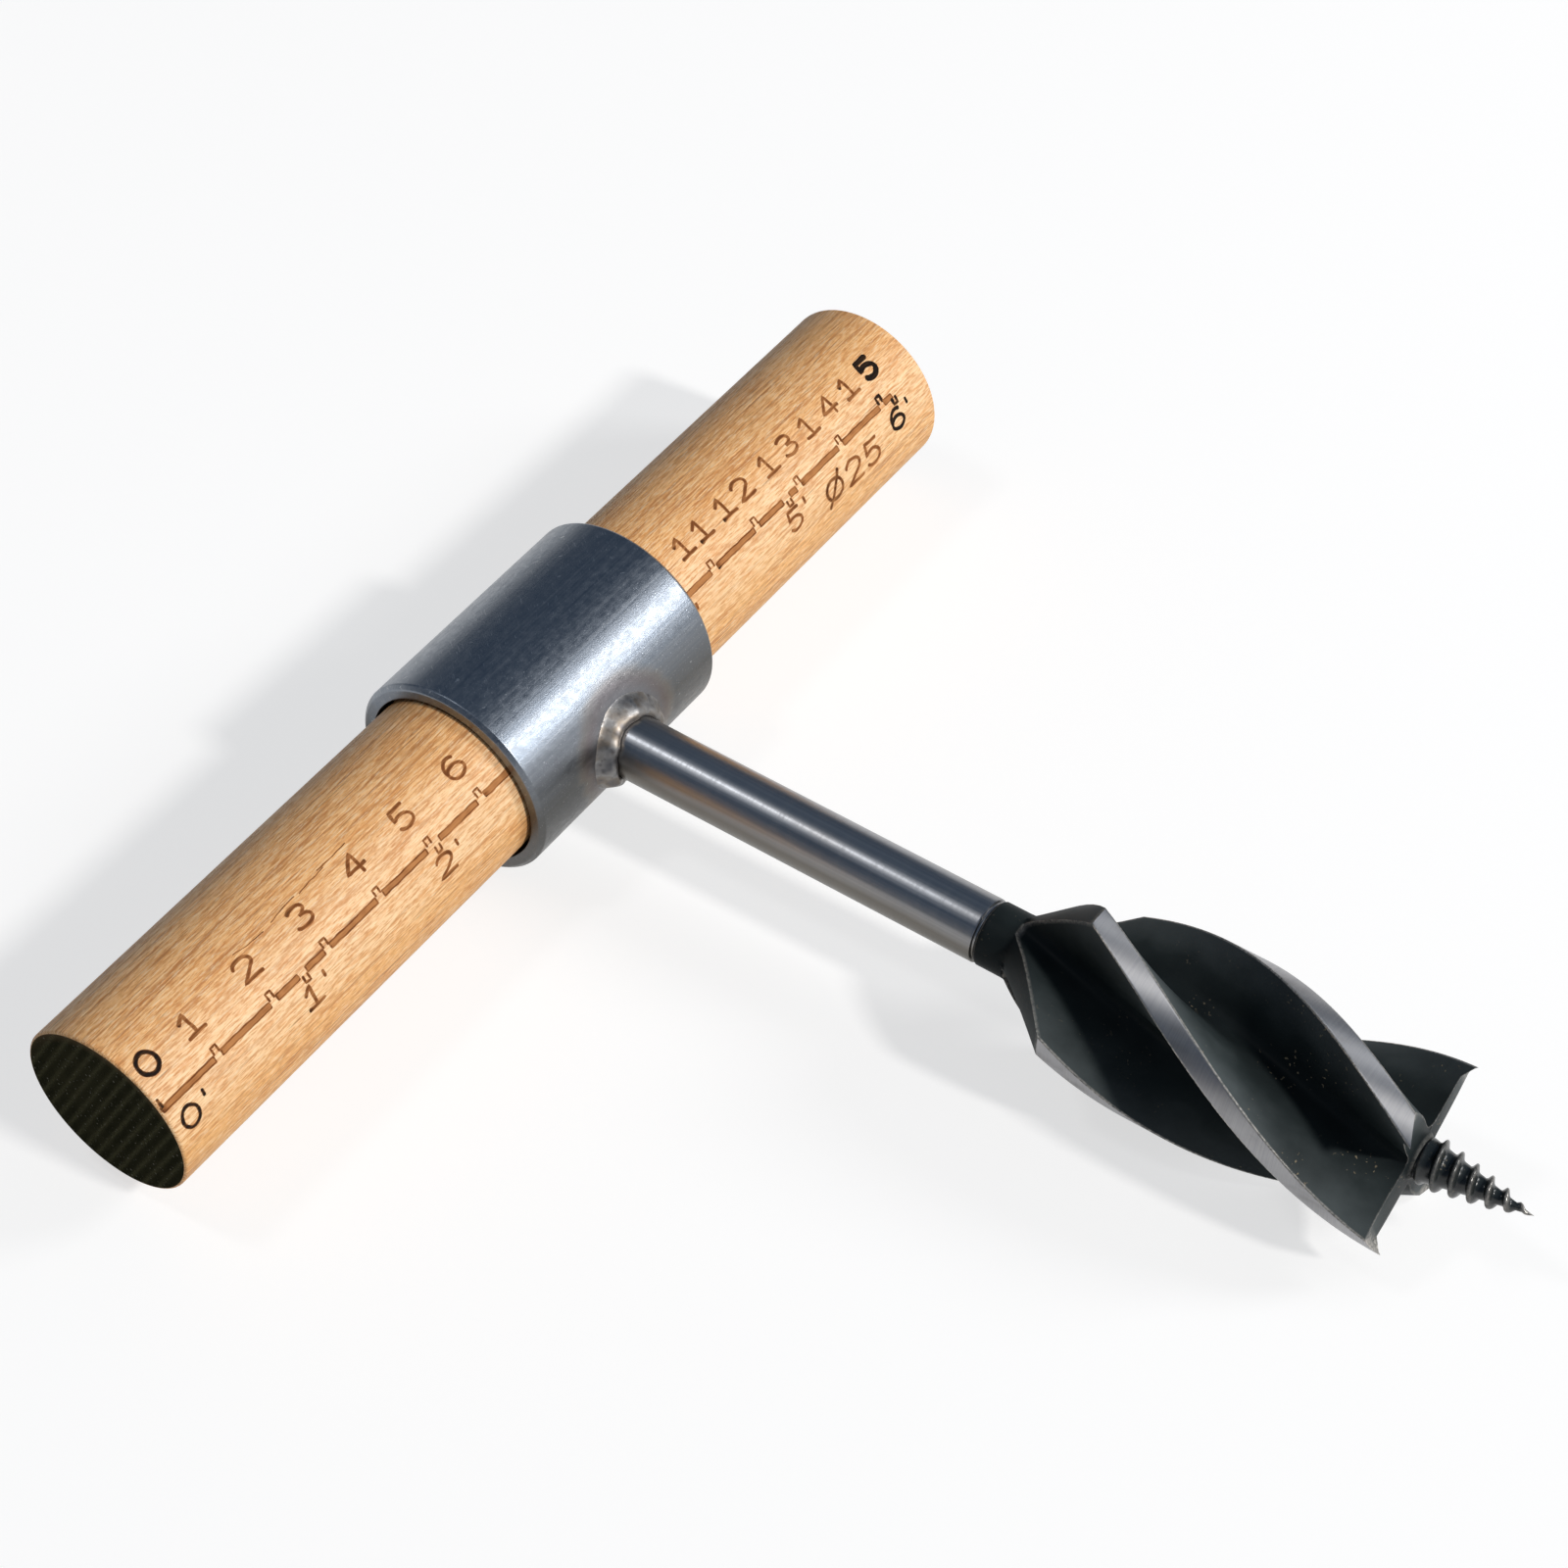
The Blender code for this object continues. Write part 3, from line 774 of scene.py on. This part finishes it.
def build_head(black, bright):
    blade = blade_section()
    columns, wear, land = [], [], []
    for flute in range(FLUTE_COUNT):
        for angle, radius, worn, on_land in blade:
            bearing = math.pi / 2 + LEADING_EDGE_AT_LIPS + flute * BLADE_ANGLE + angle
            column = head_column(angle, radius, worn)
            turns = [bearing + TWIST_RATE * (station - LIP_STATION) for r, station, w in column]
            columns.append([(r * math.cos(t), r * math.sin(t), z) for (r, z, w), t in zip(column, turns)])
            wear.append([w for r, z, w in column])
            land.append(on_land)
    rings = [[(0, 0, HEAD_START)]] + [list(ring) for ring in zip(*columns)] + [[(0, 0, HUB_STATION)]]
    count = len(columns)
    first = 1 + NECK_ROWS + CONE_ROWS
    last = first + FLUTE_ROWS

    def value(row, i):
        return wear[i][row - 1] if 0 < row < len(rings) - 1 else 0.0

    def pick(row, i):
        return int(first <= row < last and land[i] and land[(i + 1) % count])

    form = Form()
    form.shell(rings, value=value, pick=pick)
    blades = form.piece("auger_blades", bit_place, [black, bright], sharp=38.0)
    install(blades, "tool", "black_steel", "auger_head")


SCREW_SIDES = 56
SPARE_TURNS = 2
STEM_STEP = 0.3
STEM_SINK = 0.4
RIDGE_WEAR = 0.2
TIP_WEAR = 0.6
POINT_START = 0.85
POINT_WEAR = 6.0

# Half of the thread's ridge, as shares of its pitch and its depth
HALF_RIDGE = ((0.30, 0.0), (0.22, 0.16), (0.15, 0.55), (0.09, 0.88), (0.04, 0.99))


def build_screw(black):
    """A tapered screw with one rounded helical ridge, rubbed bright towards its tip."""
    sides = SCREW_SIDES
    ridge = [(THREAD_START_SHARE - s, h) for s, h in HALF_RIDGE]
    ridge += [(THREAD_START_SHARE + s, h) for s, h in reversed(HALF_RIDGE)]
    steps = len(ridge)
    rows = (math.ceil(SCREW_LENGTH / THREAD_PITCH) + 2 * SPARE_TURNS) * steps
    form = Form()
    for row in range(rows):
        share, height = ridge[row % steps]
        for side in range(sides):
            along = THREAD_PITCH * (row // steps - SPARE_TURNS + share + side / sides)
            along = min(SCREW_LENGTH, max(0.0, along))
            run_out = (SCREW_LENGTH - along) / (2 * THREAD_PITCH)
            fade = max(0.0, min(1.0, 2 * along / THREAD_PITCH, run_out))
            r = HUB_RADIUS * (1 - along / SCREW_LENGTH) + THREAD_DEPTH * height * fade
            a = 2 * math.pi * side / sides
            form.points.append((r * math.cos(a), r * math.sin(a), SCREW_START + along))
            tip = along / SCREW_LENGTH
            rubbed = height**3 * (RIDGE_WEAR + TIP_WEAR * tip**2)
            form.values.append(max(rubbed, (tip - POINT_START) * POINT_WEAR))
    for row in range(rows - 1):
        for side in range(sides):
            over = steps if side == sides - 1 else 0
            if row + 1 + over < rows:
                here, beside = row * sides + side, (row + over) * sides + (side + 1) % sides
                form.face([here, beside, beside + sides, here + sides])
    start = len(form.points)
    stem = HUB_RADIUS - STEM_STEP
    foot = [(SCREW_START, HUB_RADIUS), (SCREW_START, stem), (HUB_STATION - STEM_SINK, stem)]
    for ring in along_z(foot, sides):
        form.points += ring
        form.values += [0.0] * sides
    for row in range(2):
        for side in range(sides):
            a, b = start + row * sides + side, start + row * sides + (side + 1) % sides
            form.face([a, b, b + sides, a + sides])
    form.face([start + 2 * sides + side for side in range(sides)])
    install(form.piece("point_screw", bit_place, [black], sharp=50.0), "tool", "screw_steel", "lead_screw")


# The burnt scale, in millimetres from its zero and degrees round the handle from the top towards the bit
SCALE_ZERO = -79.7
SCALE_TURN = 1.07
MARK_RISE = 0.016
MARK_SINK = 0.25
MARK_CREST = 0.004
CREST_INDEX = 4
SINGED_EDGE = 0.45
STROKE_STEP = 0.35
HAND_SHAKE = 0.10
HAND_SEED = 1
DWELL_BURN = 1.1
DWELL_LENGTH = 0.8
DWELL_SPREAD = 0.8
WIDTH_WANDER = 0.22
BURN_WANDER = 0.16
STROKE_END = 0.35
TIP_SHARE = 0.55
END_BURN = 0.1
LAYER_STEP = 0.0012
LAYER_COUNT = 7
LINE_TURN = 53.4
LINE_SKEW = 0.0135
DEGREE = HANDLE_RADIUS * math.pi / 180


def arc(x, y, across, up, start, end, count=14):
    turns = [math.radians(start + (end - start) * i / count) for i in range(count + 1)]
    return [(x + across * math.cos(t), y + up * math.sin(t)) for t in turns]


GLYPHS = {
    "0": [arc(0.5, 0.5, 0.42, 0.5, 90, 450, 28)],
    "1": [[(0.20, 0.70), (0.55, 1.0), (0.55, 0.0)], [(0.12, 0.0), (0.98, 0.0)]],
    "2": [arc(0.5, 0.70, 0.42, 0.30, 165, -35) + [(0.06, 0.0), (0.98, 0.0)]],
    "3": [arc(0.48, 0.76, 0.38, 0.24, 150, -90) + arc(0.48, 0.26, 0.44, 0.26, 90, -150)],
    "4": [[(0.98, 0.28), (0.04, 0.28), (0.70, 1.0), (0.70, 0.0)]],
    "5": [[(0.90, 1.0), (0.22, 1.0), (0.13, 0.54)] + arc(0.48, 0.33, 0.44, 0.33, 130, -145)],
    "6": [arc(0.54, 0.5, 0.46, 0.5, 60, 180) + arc(0.5, 0.32, 0.42, 0.32, 180, -180, 24)],
    "7": [[(0.05, 1.0), (0.95, 1.0), (0.38, 0.0)]],
    "8": [arc(0.5, 0.76, 0.36, 0.24, 90, 450, 22), arc(0.5, 0.26, 0.44, 0.26, 90, 450, 22)],
    "9": [arc(0.46, 0.5, 0.46, 0.5, -120, 0) + arc(0.5, 0.68, 0.42, 0.32, 0, 360, 24)],
    "'": [[(0.5, 0.0), (0.5, 1.0)]],
    "O": [arc(0.5, 0.5, 0.5, 0.42, 90, 450, 30), [(0.02, -0.12), (0.98, 1.12)]],
}


def scale_line(x):
    """Angle of the scale's line, which runs slightly askew along the handle."""
    return LINE_TURN - LINE_SKEW * x


# Vector noise, which shakes the hand, is the same each run only with a seed
noise.seed_set(HAND_SEED)


class Marks(Form):
    """Thin strokes wrapped on the handle's surface."""

    def on_handle(self, x, degrees, lift):
        a = math.radians(degrees + SCALE_TURN)
        r = HANDLE_RADIUS + lift
        return (x + SCALE_ZERO, -r * math.sin(a), r * math.cos(a))

    def stroke(self, path, width, burn):
        """A ribbon along a path of (x, degrees), by an unsteady hand that dwells where it starts."""
        flat = [Vector((x, d * DEGREE, 0.0)) for x, d in path]
        spots = [flat[0]]
        for a, b in zip(flat, flat[1:]):
            count = max(1, math.ceil((b - a).length / STROKE_STEP))
            spots += [a.lerp(b, k / count) for k in range(1, count + 1)]
        first = (spots[0] - spots[1]).normalized()
        last = (spots[-1] - spots[-2]).normalized()
        start, end = spots[0] + first * width * STROKE_END, spots[-1] + last * width * STROKE_END
        spots = [start] + spots + [end]
        dwell = DWELL_BURN * max(0.0, noise.noise(flat[0] * 0.73 + Vector((0, 0, 7))))
        lift = MARK_RISE + LAYER_STEP * (len(self.faces) % LAYER_COUNT)
        rings, burns = [], []
        for i, spot in enumerate(spots):
            ahead = spots[min(i + 1, len(spots) - 1)] - spots[max(i - 1, 0)]
            near_start = max(0.0, 1 - (spot - spots[0]).length / DWELL_LENGTH)
            uneven = noise.noise(spot * 0.9 + Vector((0, 0, 3)))
            side = Vector((-ahead.y, ahead.x, 0.0)).normalized() * width / 2
            side *= 1 + WIDTH_WANDER * uneven + DWELL_SPREAD * dwell * near_start
            if i in (0, len(spots) - 1):
                side *= TIP_SHARE
            shake = noise.noise_vector(spot * 0.8) * HAND_SHAKE
            crest = spot + shake
            left, right = crest + side, crest - side
            ring = [(left, lift), (left, -MARK_SINK), (right, -MARK_SINK), (right, lift)]
            ring.append((crest, lift + MARK_CREST))
            rings.append([self.on_handle(p.x, p.y / DEGREE, z) for p, z in ring])
            burns.append(burn + BURN_WANDER * uneven + dwell * near_start)
        middle = [[tuple(sum(c) / len(ring) for c in zip(*ring))] for ring in (rings[0], rings[-1])]
        burns = [burns[0]] + burns + [burns[-1]]
        ends = (0, len(burns) - 1)

        def value(row, i):
            if row in ends:
                return END_BURN
            return burns[row] * (1.0 if i == CREST_INDEX else SINGED_EDGE)

        self.shell([middle[0]] + rings + [middle[1]], value=value)

    def glyph(self, sign, x, foot, wide, tall, width, burn):
        """A sign centred at x, whose foot is at an angle and whose head points up the handle."""
        for path in GLYPHS[sign]:
            self.stroke([(x + (u - 0.5) * wide, foot - v * tall / DEGREE) for u, v in path], width, burn)


# Signs with the places of their middles
CENTIMETRES = (
    ("0", 2.6), ("1", 9.7), ("2", 20.0), ("3", 30.0), ("4", 40.0), ("5", 49.5), ("6", 59.8),
    ("7", 70.0), ("8", 80.0), ("9", 90.0), ("1", 97.8), ("0", 102.4), ("1", 108.3), ("1", 112.4),
    ("1", 117.6), ("2", 122.0), ("1", 127.8), ("3", 132.6), ("1", 137.3), ("4", 142.3), ("1", 147.0),
    ("5", 152.0),
)
INCHES = (("0", 2.8), ("1", 24.9), ("2", 50.6), ("3", 76.2), ("4", 101.6), ("5", 126.5), ("6", 151.4))
SIZE_MARK = (("O", 135.5), ("2", 140.2), ("5", 144.6))
SIZE_MARK_FOOT = 79.5

# Where each bar of the scale's line starts and ends
BARS = (
    (0.0, 9.4), (10.5, 19.4), (20.6, 24.6), (26.0, 29.4), (30.5, 39.4), (40.6, 49.2), (51.6, 59.2),
    (60.6, 69.4), (70.6, 75.6), (77.0, 79.4), (80.6, 89.4), (90.6, 99.4), (102.3, 109.4), (110.7, 119.4),
    (120.5, 126.0), (127.6, 129.2), (130.4, 139.2), (140.4, 149.3), (150.4, 152.4),
)
BAR_HALF = 1.7
BAR_END_HALF = 1.6
FILL_INSET = 0.3
EDGE_INSET = 0.1

# Paths of the cracks in the wood
CRACKS = (
    ((20.2, 18.6), (22.6, 20.4), (25.2, 21.0)),
    ((26.8, 20.2), (29.0, 19.0), (31.4, 18.5)),
    ((32.2, 19.4), (34.6, 18.4), (37.0, 18.0)),
    ((36.2, 16.8), (39.0, 17.0), (41.6, 16.6)),
)

# Ticks as (last step, spacing, half width, foot and top in degrees from the line, stroke)
CENTIMETRE_TICK = (-1.8, -6.2)
INCH_TICK = (1.8, 5.8)
TICKS = (
    (15, 10.0, 0.42, CENTIMETRE_TICK, (0.32, 0.46)),
    (6, 25.4, 0.40, INCH_TICK, (0.36, 0.50)),
)
FIRST_TICK_X = 0.35

# Strokes as (width in millimetres, burn)
FIRST_TICK = (0.45, 0.8)
LAST_TICK = (0.50, 1.1)
BAR_FILL = (0.66, 0.10)
BAR_EDGE = (0.24, 0.48)
BAR_END = (0.28, 0.48)
CRACK = (0.13, 0.55)
CENTIMETRE_STROKE = (0.50, 0.42)
INCH_STROKE = (0.50, 0.44)
DASH_WIDTH = 0.48
SIZE_RING = (0.54, 0.65)
SIZE_STROKE = (0.54, 0.40)

# Strokes of the signs that are burnt deeper than the rest
BOLD_CENTIMETRES = {2.6: (0.62, 1.3), 152.0: (0.82, 1.8)}
BOLD_INCHES = {"0": (0.52, 1.2), "6": (0.58, 1.5)}

# Signs as (degrees of the foot from the line, wide, tall)
CENTIMETRE_SIGN = (-17.5, 3.3, 2.9)
INCH_SIGN = (21.5, 3.2, 2.9)
INCH_DASH = (11.0, 1.0, 0.75)
DASH_SHIFT = 2.9
SIZE_SIGN = (3.6, 3.5)


def build_scale(burnt):
    def lay(marks, name):
        install(marks.piece(name, handle_place, [burnt], "burn"), "handle", "wood")

    line = Marks()
    for low, high in BARS:
        middle = scale_line((low + high) / 2)
        line.stroke([(low + FILL_INSET, middle), (high - FILL_INSET, middle)], *BAR_FILL)
        ends = (low + EDGE_INSET, high - EDGE_INSET)
        for side in (-BAR_HALF, BAR_HALF):
            line.stroke([(x, middle + side) for x in ends], *BAR_EDGE)
        for x in ends:
            line.stroke([(x, middle - BAR_END_HALF), (x, middle + BAR_END_HALF)], *BAR_END)
    start = scale_line(FIRST_TICK_X)
    line.stroke([(FIRST_TICK_X, start + degrees) for degrees in CENTIMETRE_TICK], *FIRST_TICK)
    for last, spacing, half, (foot, top), usual in TICKS:
        for step in range(1, last + 1):
            x = spacing * step
            low, high = scale_line(x) + foot, scale_line(x) + top
            path = [(x - half, low), (x - half, high), (x + half, high), (x + half, low)]
            line.stroke(path, *(LAST_TICK if step == last else usual))
    lay(line, "scale_line")

    cracks = Marks()
    for path in CRACKS:
        cracks.stroke(path, *CRACK)
    lay(cracks, "grain_cracks")

    numbers = Marks()
    foot, wide, tall = CENTIMETRE_SIGN
    for sign, x in CENTIMETRES:
        stroke = BOLD_CENTIMETRES.get(x, CENTIMETRE_STROKE)
        numbers.glyph(sign, x, scale_line(x) + foot, wide, tall, *stroke)
    lay(numbers, "centimetre_numbers")

    numbers = Marks()
    foot, wide, tall = INCH_SIGN
    dash_turn, *dash_size = INCH_DASH
    for sign, x in INCHES:
        width, burn = BOLD_INCHES.get(sign, INCH_STROKE)
        numbers.glyph(sign, x, scale_line(x) + foot, wide, tall, width, burn)
        dash_foot = scale_line(x) + dash_turn
        numbers.glyph("'", x + DASH_SHIFT, dash_foot, *dash_size, DASH_WIDTH, burn)
    lay(numbers, "inch_numbers")

    mark = Marks()
    for sign, x in SIZE_MARK:
        mark.glyph(sign, x, SIZE_MARK_FOOT, *SIZE_SIGN, *(SIZE_RING if sign == "O" else SIZE_STROKE))
    lay(mark, "size_mark")


FLOOR_COLOUR = (0.42, 0.42, 0.42)
FLOOR_GLOW = 0.66
FLOOR_REACH = 4.0
FLOOR_CELLS = 8


def build_floor():
    """A pale floor that takes the shadow, with a glow of its own for rays that show it."""
    shader = Shader("pale_floor")
    shader.set(Base_Color=FLOOR_COLOUR, Roughness=0.9, Specular_IOR_Level=0.1)
    glow = shader.math("MULTIPLY", shader.seen(), FLOOR_GLOW)
    shader.set(Emission_Color=(1.0, 1.0, 1.0), Emission_Strength=glow)
    bm = bmesh.new()
    bmesh.ops.create_grid(bm, x_segments=FLOOR_CELLS, y_segments=FLOOR_CELLS, size=FLOOR_REACH)
    mesh = bpy.data.meshes.new("floor")
    bm.to_mesh(mesh)
    bm.free()
    mesh.materials.append(shader.material)
    floor = bpy.data.objects.new("floor", mesh)
    bpy.context.scene.collection.objects.link(floor)


KEY_TOWARD = (0.06, -0.795, 0.605)
KEY_ENERGY = 2.2
KEY_ANGLE = math.radians(6)
KEY_COLOUR = (1.0, 0.975, 0.94)

# Disk lamps as (name, direction to the lamp, size in metres, watts)
LAMPS = (
    ("over", (-0.20, 0.41, 0.88), 0.14, 0.70),
    ("side", (0.55, -0.656, 0.511), 0.27, 3.0),
)
LAMP_DISTANCE = 0.9

# The sky's colour by height, and the haze over the horizon that shows only to rays that see the sky
SKY = (
    (0.0, (0.40, 0.40, 0.40)),
    (0.12, (0.24, 0.25, 0.265)),
    (0.30, (0.095, 0.130, 0.185)),
    (1.0, (0.085, 0.125, 0.185)),
)
HAZE_BAND = (0.09, 0.14)
HAZE_COLOUR = (0.93, 0.93, 0.93)
SKY_FILL = 0.5


def hang_lamp(name, light, toward):
    lamp = bpy.data.objects.new(name, light)
    lamp.rotation_mode = "QUATERNION"
    lamp.rotation_quaternion = Vector(toward).to_track_quat("Z", "Y")
    bpy.context.scene.collection.objects.link(lamp)
    return lamp


def build_light():
    key = bpy.data.lights.new("key", "SUN")
    key.energy = KEY_ENERGY
    key.angle = KEY_ANGLE
    key.color = KEY_COLOUR
    hang_lamp("key", key, KEY_TOWARD)

    for name, toward, size, energy in LAMPS:
        disk = bpy.data.lights.new(name, "AREA")
        disk.shape = "DISK"
        disk.size = size
        disk.energy = energy
        hang_lamp(name, disk, toward).location = Vector(toward) * LAMP_DISTANCE

    world = bpy.data.worlds.new("studio")
    sky = Graph(world, "Generated")
    height = sky.axes()["Z"]
    seen = sky.seen()
    haze = sky.math("MULTIPLY", sky.spread(height, *HAZE_BAND, 1.0, 0.0), seen)
    background = sky.tree.nodes["Background"].inputs
    sky.put(background["Color"], sky.mix(haze, sky.ramp(height, *SKY), HAZE_COLOUR))
    sky.put(background["Strength"], sky.spread(seen, 0.0, 1.0, SKY_FILL, 1.0))
    bpy.context.scene.world = world


# The camera that was fitted to the photograph, in millimetres for the lens and metres for its place
LENS = 82.111
SENSOR = 36.0
NEAREST = 0.01
CAMERA_PLACE = (-0.24228, -0.16064, 0.35295)
CAMERA_FORWARD = (0.54391, 0.41180, -0.73115)
CAMERA_UP = (0.60720, 0.40825, 0.68165)


def build_camera():
    lens = bpy.data.cameras.new("camera")
    lens.lens = LENS
    lens.sensor_width = SENSOR
    lens.clip_start = NEAREST
    forward = Vector(CAMERA_FORWARD).normalized()
    right = forward.cross(Vector(CAMERA_UP)).normalized()
    up = right.cross(forward)
    turn = Matrix((right, up, -forward)).transposed().to_4x4()
    camera = bpy.data.objects.new("camera", lens)
    camera.matrix_world = Matrix.Translation(CAMERA_PLACE) @ turn
    bpy.context.scene.collection.objects.link(camera)
    bpy.context.scene.camera = camera


build_camera()
build_light()
build_floor()
build_handle(oiled_wood(), end_grain())
build_scale(burnt_mark())
build_eye(drawn_steel())
build_weld(weld_metal())
build_shank(ground_bar())
build_head(black_oxide("black_oxide", dust=0.9, rough_low=0.40, gloss=0.05), ground_land())
build_screw(black_oxide("black_screw", dust=0.3, rough_low=0.20, gloss=0.45))
bpy.context.scene.view_settings.view_transform = "Standard"

bpy.context.view_layer.update()
